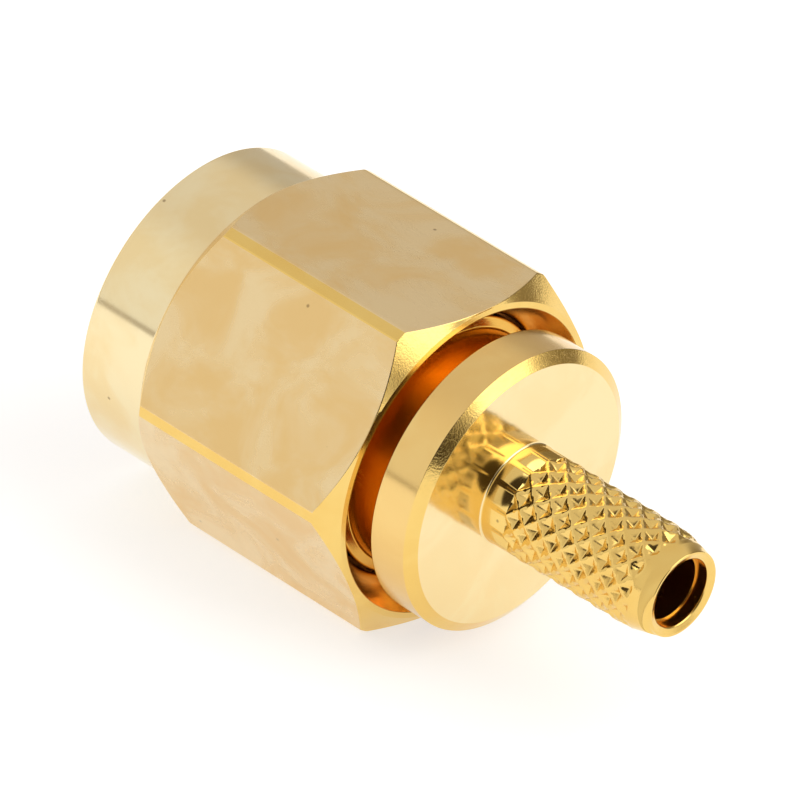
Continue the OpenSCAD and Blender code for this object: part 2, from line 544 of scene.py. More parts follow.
def handling_group() -> NodeTree:
    """Makes the group for signs of handling.

    Returns:
        A group with an input Vector in millimetres and outputs Haze (soft clouds), Scratches
        (hair lines) and Specks (small pits), each from 0 to 1.
    """
    tree, source, out = new_group(
        "handling_marks", {"Vector": "Vector"},
        {"Haze": "Float", "Scratches": "Float", "Specks": "Float"})
    place = source.outputs["Vector"]
    haze = tree.node("TexNoise", Vector=place, Scale=0.55, Detail=4.0, Roughness=0.55, Distortion=0.6)
    tree.feed(out.inputs["Haze"], tree.fade(haze.outputs["Fac"], 0.36, 0.66))
    lines = None
    for turn, stretch in ((0.35, (0.5, 9.0, 9.0)), (-0.5, (0.7, 7.0, 7.0))):
        spun = tree.node("VectorRotate", {"rotation_type": "EULER_XYZ"}, Vector=place,
                         Rotation=(turn * 0.4, turn * 0.3, turn))
        drawn = tree.vector("MULTIPLY", spun.outputs[0], stretch)
        noise = tree.node("TexNoise", Vector=drawn, Scale=0.9, Detail=1.0)
        apart = tree.math("ABSOLUTE", tree.math("SUBTRACT", noise.outputs["Fac"], 0.5))
        hair = tree.fade(apart, 0.0, 0.006, 1.0, 0.0)
        patch = tree.node("TexNoise", Vector=place, Scale=0.8 + turn * 0.3, Detail=1.0)
        hair = tree.math("MULTIPLY", hair, tree.fade(patch.outputs["Fac"], 0.5, 0.62))
        lines = hair if lines is None else tree.math("MAXIMUM", lines, hair)
    tree.feed(out.inputs["Scratches"], lines)
    cells = tree.node("TexVoronoi", Vector=place, Scale=1.35)
    rare = tree.node("SeparateColor", Color=cells.outputs["Color"])
    dot = tree.fade(cells.outputs["Distance"], 0.03, 0.075, 1.0, 0.0)
    chosen = tree.math("GREATER_THAN", rare.outputs[0], 0.72)
    tree.feed(out.inputs["Specks"], tree.math("MULTIPLY", dot, chosen))
    return tree.tree


class Groups:
    """The node groups that several finishes use, each made once."""

    def __init__(self) -> None:
        """Makes the groups."""
        self.place = axial_place_group()
        self.streaks = streaks_group()
        self.handling = handling_group()

    def add(self, tree: Tree, group: NodeTree, **inputs: object) -> Node:
        """Places a group in a material.

        Args:
            tree: the material's tree.
            group: the group to place.
            inputs: values or sockets for its inputs.

        Returns:
            The placed node.
        """
        made = tree.node("Group", {"node_tree": group})
        for key, value in inputs.items():
            tree.feed(made.inputs[key], value)
        return made


def new_material(name: str) -> tuple[Material, Tree, Node]:
    """Starts a material.

    Args:
        name: its name.

    Returns:
        The material, its tree and its main shader.
    """
    made = bpy.data.materials.new(name)
    made.use_nodes = True
    return made, Tree(made.node_tree), made.node_tree.nodes["Principled BSDF"]


@dataclass(frozen=True)
class GoldFinish:
    """One way that the gold-plated metal is finished.

    Attributes:
        name: name of the material.
        colour: colour of the clean metal; on the flats, collar and faced rear it is paler, painted
            light, and on the flange and bores darker, painted shade.
        shade: colour that the haze turns it to.
        roughness: roughness of the clean metal.
        haze_roughness: what the haze adds to it.
        stretch: how the tool lines are drawn out, in lines for each millimetre.
        turned: whether the lines follow the turning and not the flats.
        relief: height of the tool lines.
        grain: height of a fine grain over them.
        grain_scale: size of that grain, in grains for each millimetre.
        scratch: how deep the hair scratches are.
        scratch_roughness: what they add to the roughness.
        speck: how deep the small pits are.
        speck_colour: colour that they darken to.
        speck_share: how far they darken to it.
    """

    name: str
    colour: Colour = (0.86, 0.60, 0.19)
    shade: Colour = (0.84, 0.56, 0.16)
    roughness: float = 0.12
    haze_roughness: float = 0.05
    stretch: Triple = (14.0, 14.0, 0.6)
    turned: bool = True
    relief: float = 0.0004
    grain: float = 0.0
    grain_scale: float = 30.0
    scratch: float = 0.0004
    scratch_roughness: float = 0.08
    speck: float = 0.003
    speck_colour: Colour = (0.20, 0.12, 0.05)
    speck_share: float = 0.6

    def material(self, groups: Groups) -> Material:
        """Makes the material.

        Args:
            groups: the shared node groups.

        Returns:
            The material.
        """
        made, tree, metal = new_material(self.name)
        place = groups.add(tree, groups.place)
        marks = groups.add(tree, groups.handling, Vector=place.outputs["Place"])
        lines = groups.add(tree, groups.streaks, Stretch=self.stretch,
                           Vector=place.outputs["Turned" if self.turned else "Place"])
        haze, hair, speck = (marks.outputs[key] for key in ("Haze", "Scratches", "Specks"))
        colour = tree.mix(haze, (*self.colour, 1), (*self.shade, 1))
        colour = tree.mix(
            tree.math("MULTIPLY", speck, self.speck_share), colour, (*self.speck_colour, 1))
        tree.feed(metal.inputs["Base Color"], colour)
        metal.inputs["Metallic"].default_value = 1.0
        rough = tree.math("MULTIPLY_ADD", haze, self.haze_roughness, self.roughness)
        rough = tree.math("MULTIPLY_ADD", hair, self.scratch_roughness, rough)
        tree.feed(metal.inputs["Roughness"], rough)
        height = tree.math("MULTIPLY", lines.outputs["Height"], self.relief)
        height = tree.math("SUBTRACT", height, tree.math("MULTIPLY", hair, self.scratch))
        height = tree.math("SUBTRACT", height, tree.math("MULTIPLY", speck, self.speck))
        if self.grain:
            grit = tree.node(
                "TexNoise", Vector=place.outputs["Place"], Scale=self.grain_scale, Detail=3.0)
            height = tree.math("MULTIPLY_ADD", grit.outputs["Fac"], self.grain, height)
        bump = tree.node("Bump", Strength=1.0, Distance=METRES, Height=height)
        tree.feed(metal.inputs["Normal"], bump.outputs["Normal"])
        return made


@dataclass(frozen=True)
class SoftFinish:
    """Finish of a piece that isn't metal.

    Attributes:
        name: name of the material.
        colour: colour of most of it.
        shade: colour of its soft clouds.
        roughness: roughness of the surface.
        grain: height of its grain.
        subsurface: share of light that goes into the piece.
        depth: how far that light goes.
        stretch: how its tool lines are drawn out.
    """

    name: str
    colour: Colour
    shade: Colour
    roughness: float
    grain: float
    subsurface: float = 0.0
    depth: float = 0.3
    stretch: Triple = (9.0, 9.0, 0.5)

    def material(self, groups: Groups) -> Material:
        """Makes the material.

        Args:
            groups: the shared node groups.

        Returns:
            The material.
        """
        made, tree, body = new_material(self.name)
        place = groups.add(tree, groups.place)
        marks = groups.add(tree, groups.handling, Vector=place.outputs["Place"])
        lines = groups.add(
            tree, groups.streaks, Stretch=self.stretch, Vector=place.outputs["Turned"])
        haze = marks.outputs["Haze"]
        tree.feed(body.inputs["Base Color"], tree.mix(haze, (*self.colour, 1), (*self.shade, 1)))
        rough = tree.math("MULTIPLY_ADD", haze, 0.1, self.roughness)
        tree.feed(body.inputs["Roughness"], rough)
        body.inputs["Subsurface Weight"].default_value = self.subsurface
        body.inputs["Subsurface Radius"].default_value = (METRES * self.depth,) * 3
        height = tree.math("MULTIPLY", lines.outputs["Height"], self.grain)
        bump = tree.node("Bump", Strength=1.0, Distance=METRES, Height=height)
        tree.feed(body.inputs["Normal"], bump.outputs["Normal"])
        return made


class Palette:
    """Every finish of the plug, as materials by kind of surface.

    Attributes:
        gold: finishes of the contact, the body and the nut, among them lit and shaded copies of one
            gold plating, painted light and shade.
        ring: finish of the retaining ring.
        seal: finish of the gasket.
        white: finish of the insulators.
    """

    def __init__(self) -> None:
        """Makes the materials."""
        groups = Groups()
        gold = {
            Face.POLISHED: GoldFinish("gold_polished"),
            # Milled flats: the roughness and tool lines are their real milled finish; their colour,
            # paler than the polished gold, is painted light, a lit copy of the same plating.
            Face.FLAT: GoldFinish(
                "gold_milled_flat_painted_light", colour=(0.87, 0.67, 0.37), shade=(0.84, 0.58, 0.25),
                roughness=0.24, haze_roughness=0.08, turned=False, stretch=(0.8, 9.0, 9.0),
                relief=0.0012, scratch=0.0012),
            # Front collar: its colour, paler than the polished gold, is painted light, a lit copy of
            # the same plating; the roughness is its real turned finish.
            Face.COLLAR: GoldFinish(
                "gold_collar_painted_light", colour=(0.89, 0.75, 0.46), shade=(0.87, 0.68, 0.36),
                roughness=0.10, relief=0.0003),
            # Flange outside: its colour, a little darker than the polished gold, is painted shade, a
            # shaded copy of the same plating.
            Face.FLANGE: GoldFinish(
                "gold_flange_painted_shade", colour=(0.84, 0.58, 0.22), shade=(0.82, 0.54, 0.19),
                roughness=0.14, relief=0.0004),
            Face.CHAMFER: GoldFinish(
                "gold_chamfer", roughness=0.10, relief=0.0005, grain=0.0025, grain_scale=22.0),
            # Faced rear of the flange: its colour, paler than the polished gold, is painted light, a
            # lit copy of the same plating; the low roughness is its real faced finish.
            Face.MIRROR: GoldFinish(
                "gold_faced_painted_light", colour=(0.92, 0.75, 0.42), shade=(0.90, 0.71, 0.37),
                roughness=0.11, haze_roughness=0.03, relief=0.00025),
            Face.KNURL: GoldFinish(
                "gold_knurl", roughness=0.13, grain=0.0015, grain_scale=18.0, relief=0.0),
            # Bores, grooves, thread, lands and the neck in the gap under the nut: their darker,
            # deeper orange colour is painted shade of these recesses, a shaded copy of the same
            # plating; the roughness and tool lines are real.
            Face.BORE: GoldFinish(
                "gold_bore_painted_shade", colour=(0.82, 0.47, 0.09), shade=(0.78, 0.42, 0.07),
                roughness=0.16, relief=0.001),
        }
        self.gold = {kind: finish.material(groups) for kind, finish in gold.items()}
        plain = (
            GoldFinish(
                "ring_copper_alloy", colour=(0.80, 0.50, 0.26), shade=(0.70, 0.42, 0.2),
                roughness=0.22),
            SoftFinish("seal_silicone", (0.52, 0.09, 0.035), (0.40, 0.06, 0.025), 0.5, 0.004),
            SoftFinish(
                "insulator_white", (0.83, 0.82, 0.78), (0.76, 0.75, 0.71), 0.42, 0.003, 0.4),
        )
        self.ring, self.seal, self.white = (
            {Face.POLISHED: finish.material(groups)} for finish in plain)


# --- The coupling nut ---
@dataclass
class CouplingNut:
    """The hexagonal coupling nut with its front collar and internal thread.

    Attributes:
        collar_r: radius of the front collar.
        hex_front: where the front chamfer meets the middle of a flat.
        front_slope: rise along the axis for each step out on the front chamfer.
        rear_slope: the same for the rear chamfer.
        rim_r: outer radius of the rear rim.
        rim_fall: how far that edge of the rim lies in front of the rear face.
        mouth_r: inner radius of the rear rim.
        mouth_length: length of the cone behind the bore.
        bore_r: radius of the smooth bore.
        groove_r: radius of the ring groove.
        groove_x: middle of the ring groove.
        half_groove: half its width.
        thread_major_r: radius at the bottom of the thread.
        thread_pitch: pitch of the thread.
        thread_end: where the thread stops.
        entry_step: how much wider than the thread its entry is.
        crest_share: share of the pitch that is crest.
        flank_share: share of the pitch that is flanks.
        lead_in: plain stretch behind the entry, then the stretch where the thread deepens.
        run_out: plain stretch at the thread's end, and before it the stretch where it fades.
        soft: height under the hexagon's corners in which they are eased.
        edge: angle between points beside an edge of a flat, in radians.
        rows_in_a_turn: rings of points in a turn of the thread.
        flat_steps: angular steps across half a flat.
        strip_steps: angular steps from a flat's edge to the corner.
    """

    collar_r: float = 3.88
    hex_front: float = -0.49
    front_slope: float = math.tan(math.radians(42))
    rear_slope: float = math.tan(math.radians(37))
    rim_r: float = 3.966
    rim_fall: float = 0.03
    mouth_r: float = 3.82
    mouth_length: float = 0.9
    bore_r: float = 3.3
    groove_r: float = 3.62
    groove_x: float = 3.55
    half_groove: float = 0.22
    thread_major_r: float = 3.16
    thread_pitch: float = 25.4 / 36
    thread_end: float = 1.55
    entry_step: float = 0.06
    crest_share: float = 0.12
    flank_share: float = 0.7
    lead_in: tuple[float, float] = (0.1, 0.25)
    run_out: tuple[float, float] = (0.05, 0.3)
    soft: float = 0.02
    edge: float = 0.0035
    rows_in_a_turn: int = 18
    flat_steps: int = 22
    strip_steps: int = 6

    def __post_init__(self) -> None:
        """Reads the nut's overall sizes from the frame."""
        low, high = node_box("coupling_nut")
        self.front, self.rear = float(low[0]), float(high[0])
        self.flat_r, self.corner_r = float(high[2]), float(high[1])
        self.minor_r = mount_radius("coupling_thread")
        self.strip_angle = math.acos(self.flat_r / self.corner_r)

    def angles(self) -> np.ndarray:
        """Angles of the rings' points, dense at the edges of the flats.

        Returns:
            The angles in radians, in order.
        """
        strip, edge = self.strip_angle, self.edge
        half = [strip * k / self.flat_steps for k in range(self.flat_steps)]
        half += [strip + edge * k for k in range(-2, 3)]
        rest = SIDE_TURN / 2 - strip - edge * 2
        half += [
            strip + edge * 2 + rest * k / self.strip_steps for k in range(1, self.strip_steps + 1)]
        side = [-a for a in reversed(half[1:-1])] + half
        return np.array([a + number * math.pi / 3 for number in range(6) for a in side])

    @staticmethod
    def off_flat(angle: float) -> float:
        """Angle from the middle of the nearest flat.

        Args:
            angle: angle from +Z.

        Returns:
            The angle between them in radians, half a side's turn at most.
        """
        return abs((angle + SIDE_TURN / 2) % SIDE_TURN - SIDE_TURN / 2)

    def height(self, angle: float) -> float:
        """Radius of the hexagon at an angle, with its corners turned down.

        Args:
            angle: angle from +Z.

        Returns:
            The radius.
        """
        flat = self.flat_r / math.cos(self.off_flat(angle))
        lower = max(self.soft - abs(flat - self.corner_r), 0) / self.soft
        return min(flat, self.corner_r) - lower * lower * self.soft / 4

    def outer(self, angle: float) -> list[Station]:
        """Outline of the outside at an angle, from the front face to the thread's end.

        Args:
            angle: angle from +Z.

        Returns:
            The stations in order.
        """
        top = self.height(angle)
        side = Face.FLAT if self.off_flat(angle) < self.strip_angle else Face.POLISHED
        cone_foot = self.hex_front - (self.flat_r - self.collar_r) * self.front_slope
        groove_front, groove_rear = (
            self.groove_x + way * self.half_groove for way in (-1, 1))
        corners = [
            Corner(self.front, self.thread_major_r + self.entry_step, 0.03),
            Corner(self.front, self.collar_r, 0.07, Face.COLLAR),
            Corner(cone_foot, self.collar_r, 0.04, Face.CHAMFER),
            Corner(self.hex_front + (top - self.flat_r) * self.front_slope, top, 0.05, side),
            Corner(self.rear - (top - self.rim_r) * self.rear_slope, top, 0.035, Face.CHAMFER),
            Corner(self.rear - self.rim_fall, self.rim_r, 0.02),
            Corner(self.rear, self.mouth_r, 0.03, Face.BORE),
            Corner(self.rear - self.mouth_length, self.bore_r, 0.1, Face.BORE),
            Corner(groove_rear, self.bore_r, 0.02, Face.BORE),
            Corner(groove_rear, self.groove_r, 0.0, Face.BORE),
            Corner(groove_front, self.groove_r, 0.0, Face.BORE),
            Corner(groove_front, self.bore_r, 0.02, Face.BORE),
            Corner(self.thread_end, self.bore_r, 0.0, Face.BORE),
            Corner(self.thread_end, self.minor_r, 0.0, Face.BORE),
        ]
        return eased_outline([corners[-1], *corners, corners[0]], closed=False)[1:-1]

    def thread_r(self, x: float, angle: float) -> float:
        """Radius of the thread at a point.

        Args:
            x: place along the axis.
            angle: angle from +Z.

        Returns:
            The radius, between the crests and the bottom of the thread.
        """
        turn = (x / self.thread_pitch - angle / TWO_PI) % 1
        saw = 1 - abs(turn * 2 - 1)
        depth = min(max((saw - self.crest_share) / self.flank_share, 0), 1)
        start = self.front + self.thread_major_r - self.minor_r + self.lead_in[0]
        end = self.thread_end - self.run_out[0]
        deepening = min(max((x - start) / self.lead_in[1], 0), 1)
        fading = min(max((end - x) / self.run_out[1], 0), 1)
        return self.minor_r + (self.thread_major_r - self.minor_r) * depth * (deepening * fading)

    def build(self, palette: Palette) -> Object:
        """Makes the nut.

        Args:
            palette: the finishes.

        Returns:
            The nut, riding on its body in place of the CAD node.
        """
        angles = self.angles()
        outlines = [self.outer(angle) for angle in angles]
        turning = Turning("nut_shell")
        kinds: list[list[Face]] = []
        for k in range(len(outlines[0])):
            x = np.array([outline[k].x for outline in outlines])
            r = np.array([outline[k].r for outline in outlines])
            turning.ring(ring_points(x, r, angles))
            kinds.append([outline[k].face for outline in outlines])
        start = self.front + self.thread_major_r + self.entry_step - self.minor_r
        rows = int((self.thread_end - start) / self.thread_pitch * self.rows_in_a_turn)
        for row in range(1, rows + 1):
            x = self.thread_end + (start - self.thread_end) * row / rows
            r = np.array([self.thread_r(x, angle) for angle in angles])
            turning.ring(ring_points(np.full(len(angles), x), r, angles))
            kinds.append([Face.BORE] * len(angles))
        last = len(turning.points) - 1
        for k in range(last):
            turning.join(k, k + 1, kinds[k].__getitem__)
        turning.join(last, 0, Face.BORE)
        nut = turning.build(palette.gold)
        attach(nut, "nut")
        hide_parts("coupling_nut")
        return nut


# --- The plug body ---
@dataclass
class Knurl:
    """The diamond knurl on the stem.

    Attributes:
        around: ridge crossings round the stem.
        pitch: distance between crossings along the axis.
        half_rows: half pitches along the knurl.
        fine: mesh steps along each side of a diamond.
        depth: depth of the pits.
        ridge: half the width of a ridge, as a share of a diamond's side.
        sag: how far a ridge falls between two crossings.
        proud: how far the crossings stand over the plain stem.
        cuts: smallest and largest depth of a pit, as shares of depth.
        tilt_limit: most that a pit leans to one side, as a share of its depth.
        run_out: where the knurl ends, on the average round the stem.
        run_out_length: stretch along the axis in which it ends.
        sway: how far that end moves along the axis once round the stem.
        sway_turn: angle that this movement is turned by, in radians.
        ripple: how far it moves besides, several times round the stem.
        ripples: how many times.
        seed: start of the random draws.
    """

    around: int = 14
    pitch: float = 0.58
    half_rows: int = 14
    fine: int = 12
    depth: float = 0.15
    ridge: float = 0.05
    sag: float = 0.028
    proud: float = 0.015
    cuts: tuple[float, float] = (0.82, 1.12)
    tilt_limit: float = 0.22
    run_out: float = 12.12
    run_out_length: float = 0.12
    sway: float = 0.13
    sway_turn: float = 0.3
    ripple: float = 0.03
    ripples: int = 5
    seed: int = 7

    def __post_init__(self) -> None:
        """Draws how deep each pit is cut and how it leans."""
        rng = np.random.default_rng(self.seed)
        size = 4 * (self.around + self.half_rows)
        self.cut = rng.uniform(*self.cuts, (size, size))
        self.tilt = rng.uniform(-self.tilt_limit, self.tilt_limit, (size, size, 2))

    @property
    def sides(self) -> int:
        """Points in each ring."""
        return self.around * self.fine

    def radius(
        self, i: np.ndarray, j: int, x: float, plain: float, angles: np.ndarray,
    ) -> np.ndarray:
        """Radius of the knurl at a ring of points.

        Args:
            i: fine half steps round the stem.
            j: fine half step along it.
            x: the ring's place along the axis.
            plain: radius of the stem without its knurl.
            angles: angle of each point.

        Returns:
            The radii.
        """
        u, w = (i + j) / (2 * self.fine), (i - j) / (2 * self.fine)
        a, b = np.abs(u - np.round(u)), np.abs(w - np.round(w))
        cell = tuple(np.floor(way).astype(int) % len(self.cut) for way in (u, w))
        tilt = self.tilt[cell]
        lean = 1 + tilt[:, 0] * (u % 1 - 0.5) * 2 + tilt[:, 1] * (w % 1 - 0.5) * 2
        pit = np.clip((np.minimum(a, b) - self.ridge) / (0.5 - self.ridge), 0, 1)
        on_ridge = np.clip(1 - pit * 3, 0, 1)
        ridge_fall = self.sag * (np.maximum(a, b) * 2) ** 2 * on_ridge
        end = self.run_out + self.sway * np.cos(angles + self.sway_turn)
        end = end + self.ripple * np.sin(self.ripples * angles)
        keep = np.clip((end - x) / self.run_out_length, 0, 1)
        return plain + (self.proud - ridge_fall - self.depth * self.cut[cell] * lean * pit) * keep


@dataclass
class PlugBody:
    """The turned body: contact sleeve, lands, neck, flange and knurled crimp stem.

    Attributes:
        shoulder_x: shoulder behind the gasket.
        land_r: radius of the guide lands.
        land_end: where the rear land ends.
        neck_r: radius of the neck.
        neck_step: axial length of the step down to the neck.
        seat_r: radius of the gasket's seat.
        sleeve_length: length of the contact sleeve in front of that seat.
        sleeve_bore_r: radius of the sleeve's bore.
        groove_r: radius of the ring groove.
        groove: where that groove starts and ends.
        insulator_end: where the insulators' bore ends.
        lap: how far behind that end the cable bore's outline stops.
        flange_front: front face of the flange.
        flange_rear: rear face of the flange.
        chamfer_out: radial width of the flange's chamfer.
        chamfer_along: axial length of the flange's chamfer.
        plain_length: plain stretch of the stem.
        taper_start: where the stem's end starts to taper.
        end_r: radius of the stem's end face.
        end_width: width of the flat ring on the end face.
        mouth_r: radius of the cable bore's mouth.
        mouth_fall: how far in front of the end face the mouth's edge lies.
        mouth_length: length of the mouth, from the end face to its step.
        step_fall: axial length of that step.
        knurl: the knurl.
    """

    shoulder_x: float = 2.7
    land_r: float = 3.22
    land_end: float = 5.05
    neck_r: float = 2.95
    neck_step: float = 0.05
    seat_r: float = 2.45
    sleeve_length: float = 1.95
    sleeve_bore_r: float = 2.05
    groove_r: float = 2.85
    groove: tuple[float, float] = (3.215, 3.895)
    insulator_end: float = 5.6
    lap: float = 0.02
    flange_front: float = 6.37
    flange_rear: float = 7.58
    chamfer_out: float = 0.28
    chamfer_along: float = 0.19
    plain_length: float = 0.7
    taper_start: float = 11.85
    end_r: float = 1.062
    end_width: float = 0.05
    mouth_r: float = 0.85
    mouth_fall: float = 0.07
    mouth_length: float = 0.38
    step_fall: float = 0.01
    knurl: Knurl = field(default_factory=Knurl)

    def __post_init__(self) -> None:
        """Reads the body's overall sizes from the frame."""
        low, high = node_box("plug_body")
        self.stem_end, self.flange_r = float(high[0]), float(high[2])
        self.sleeve_r = mount_radius("outer_contact")
        self.stem_r = mount_radius("crimp_stem")
        self.bore_r = mount_radius("cable_bore")
        self.knurl_x = self.flange_rear + self.plain_length

    def taper_r(self, x: float) -> float:
        """Radius of the plain stem at a place along the axis.

        Args:
            x: place along the axis.

        Returns:
            The radius.
        """
        share = max(x - self.taper_start, 0) / (self.stem_end - self.taper_start)
        return self.stem_r - (self.stem_r - self.end_r) * share

    def front_outline(self) -> list[Station]:
        """Outline from the insulators' bore round the front to the knurl.

        Returns:
            The stations in order.
        """
        return eased_outline([
            Corner(self.insulator_end, self.bore_r, 0, Face.BORE),
            Corner(self.insulator_end, self.sleeve_bore_r, 0, Face.BORE),
            Corner(0.0, self.sleeve_bore_r, 0.03),
            Corner(0.0, self.sleeve_r, 0.05),
            Corner(self.sleeve_length, self.sleeve_r, 0.02),
            Corner(self.sleeve_length, self.seat_r, 0.03),
            Corner(self.shoulder_x, self.seat_r, 0.02),
            Corner(self.shoulder_x, self.land_r, 0.08, Face.BORE),
            Corner(self.groove[0], self.land_r, 0.02, Face.BORE),
            Corner(self.groove[0], self.groove_r, 0.02, Face.BORE),
            Corner(self.groove[1], self.groove_r, 0.02, Face.BORE),
            Corner(self.groove[1], self.land_r, 0.02, Face.BORE),
            Corner(self.land_end, self.land_r, 0.06, Face.BORE),
            Corner(self.land_end + self.neck_step, self.neck_r, 0.05, Face.BORE),
            Corner(self.flange_front, self.neck_r, 0.12, Face.BORE),
            Corner(self.flange_front, self.flange_r, 0.03, Face.FLANGE),
            Corner(self.flange_rear - self.chamfer_along, self.flange_r, 0.012, Face.CHAMFER),
            Corner(self.flange_rear, self.flange_r - self.chamfer_out, 0.012, Face.MIRROR),
            Corner(self.flange_rear, self.stem_r, 0.06),
            Corner(self.knurl_x, self.stem_r, 0, Face.KNURL),
        ], closed=False)

    def rear_outline(self) -> list[Station]:
        """Outline from the knurl's end round the stem's end face into the cable bore.

        Returns:
            The stations in order.
        """
        step = self.stem_end - self.mouth_length
        knurl_end = self.knurl_x + self.knurl.half_rows * self.knurl.pitch / 2
        return eased_outline([
            Corner(knurl_end, self.taper_r(knurl_end)),
            Corner(self.stem_end, self.end_r, 0.03),
            Corner(self.stem_end, self.end_r - self.end_width, 0.02),
            Corner(self.stem_end - self.mouth_fall, self.mouth_r, 0.05, Face.BORE),
            Corner(step, self.mouth_r, 0.006, Face.BORE),
            Corner(step - self.step_fall, self.bore_r, 0.006, Face.BORE),
            Corner(self.insulator_end + self.lap, self.bore_r, 0, Face.BORE),
        ], closed=False)

    def build(self, palette: Palette) -> Object:
        """Makes the body.

        Args:
            palette: the finishes.

        Returns:
            The body, riding on the plug in place of the CAD node.
        """
        knurl = self.knurl
        sides = knurl.sides
        half = math.pi / sides
        steps = np.arange(sides) * 2
        turning = Turning("body_turned")
        angles = steps * half

        def plain_ring(station: Station) -> int:
            """Adds a round ring.

            Args:
                station: its place in the outline.

            Returns:
                The ring's number.
            """
            x, r = np.full(sides, station.x), np.full(sides, station.r)
            return turning.ring(ring_points(x, r, angles))

        front = self.front_outline()
        for k, station in enumerate(front):
            plain_ring(station)
            if k:
                turning.join(k - 1, k, front[k - 1].face)
        before = len(front) - 1
        for j in range(knurl.half_rows * knurl.fine + 1):
            x = self.knurl_x + j * knurl.pitch / 2 / knurl.fine
            i = steps + j % 2
            turn = i * half
            r = knurl.radius(i, j, x, self.taper_r(x), turn)
            ring = turning.ring(ring_points(np.full(sides, x), r, turn))
            turning.join(before, ring, Face.KNURL, lean=-1 if j == 0 else (j + 1) % 2)
            before = ring
        rear = self.rear_outline()
        for k, station in enumerate(rear):
            ring = plain_ring(station)
            turning.join(before, ring, Face.POLISHED if k == 0 else rear[k - 1].face)
            before = ring
        turning.join(before, 0, Face.BORE)
        body = turning.build(palette.gold)
        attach(body, "plug")
        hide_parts("plug_body")
        return body


# --- The small pieces inside ---
@dataclass
class InnerPieces:
    """Contact, insulators, gasket and retaining ring.

    Attributes:
        pin_tip: length of the cone at the pin's tip.
        blunt: radius of the tip's end, as a share of the pin's.
        axis_r: radius at which the contact's outline ends, beside the axis.
        collar_r: radius of the contact's collar.
        collar: where that collar starts and ends.
        cup_r: radius of the solder cup.
        cup_depth: depth of the solder cup.
        cup_cone: length of the cone at its bottom.
        contact_r: radius of the contact behind the mating plane.
        slack: gap between the contact and the insulators.
        seal_hole_r: radius of the gasket's hole.
        ring_hole_r: inner radius of the retaining ring.
        slit: angle of the slit in the retaining ring, in degrees.
    """

    pin_tip: float = 0.35
    blunt: float = 0.25
    axis_r: float = 0.01
    collar_r: float = 0.97
    collar: tuple[float, float] = (2.8, 3.2)
    cup_r: float = 0.3
    cup_depth: float = 1.9
    cup_cone: float = 0.15
    contact_r: float = 0.635
    slack: float = 0.01
    seal_hole_r: float = 2.46
    ring_hole_r: float = 3.0
    slit: float = 14.0

    def place(self, piece: Object, body: str, node: str, slot: str) -> Object:
        """Puts a piece on its body in place of a CAD node.

        Args:
            piece: the piece.
            body: the body that it rides on.
            node: the CAD node that it stands for.
            slot: its material slot in the record; not used.

        Returns:
            The piece.
        """
        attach(piece, body)
        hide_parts(node)
        return piece

    def contact(self, palette: Palette) -> Object:
        """Makes the centre contact.

        Args:
            palette: the finishes.

        Returns:
            The contact.
        """
        low, high = node_box("centre_contact")
        pin_r = mount_radius("centre_pin")
        front, rear = float(low[0]), float(high[0])
        start, end = self.collar
        cup_end = rear - self.cup_depth
        corners = [
            Corner(front, self.axis_r), Corner(front, pin_r * self.blunt, 0.05),
            Corner(front + self.pin_tip, pin_r, 0.15), Corner(0.0, pin_r, 0.02),
            Corner(0.0, self.contact_r, 0.02), Corner(start, self.contact_r),
            Corner(start, self.collar_r, 0.02), Corner(end, self.collar_r, 0.02),
            Corner(end, self.contact_r), Corner(rear, self.contact_r, 0.04),
            Corner(rear, self.cup_r, 0.04), Corner(cup_end, self.cup_r),
            Corner(cup_end - self.cup_cone, self.axis_r),
        ]
        piece = turned_piece("contact_pin", corners, palette.gold, sides=64, closed=False)
        return self.place(piece, "plug", "centre_contact", "contact_gold")

    def tube(
        self, name: str, node: str, hole: float, finishes: Finishes, slot: str, ease: float,
    ) -> Object:
        """Makes a plain tube from the box of its CAD node.

        Args:
            name: name of the piece.
            node: the CAD node that it stands for.
            hole: radius of its hole.
            finishes: its finishes.
            slot: its material slot in the record.
            ease: radius that its edges are rounded with.

        Returns:
            The piece.
        """
        low, high = node_box(node)
        front, rear, r = float(low[0]), float(high[0]), float(high[2])
        corners = rectangle(front, rear, hole, r, ease)
        return self.place(turned_piece(name, corners, finishes, sides=96), "plug", node, slot)

    def ring(self, palette: Palette) -> Object:
        """Makes the split retaining ring.

        Args:
            palette: the finishes.

        Returns:
            The ring.
        """
        low, high = node_box("retaining_ring")
        front, rear, r = float(low[0]), float(high[0]), float(high[1])
        half = math.radians(self.slit / 2)
        outline = eased_outline(rectangle(front, rear, self.ring_hole_r, r, 0.03))
        turning = Turning("spring_ring")
        steps = 96
        for k in range(steps + 1):
            angle = half + (TWO_PI - 2 * half) * k / steps
            turning.ring(np.array(
                [(s.x, -s.r * math.sin(angle), s.r * math.cos(angle)) for s in outline]))
            if k:
                turning.join(k - 1, k, Face.POLISHED)
        turning.cap(0, Face.POLISHED)
        turning.cap(steps, Face.POLISHED)
        spring = turning.build(palette.ring)
        return self.place(spring, "ring", "retaining_ring", "ring_copper")

    def build(self, palette: Palette) -> list[Object]:
        """Makes every inner piece.

        Args:
            palette: the finishes.

        Returns:
            The pieces.
        """
        hole = self.contact_r + self.slack
        return [
            self.contact(palette),
            self.tube("front_bead", "front_insulator", hole, palette.white, "insulator_white", 0.04),
            self.tube("rear_bead", "rear_insulator", hole, palette.white, "insulator_white", 0.04),
            self.tube("seal_ring", "gasket", self.seal_hole_r, palette.seal, "seal_rubber", 0.12),
            self.ring(palette),
        ]


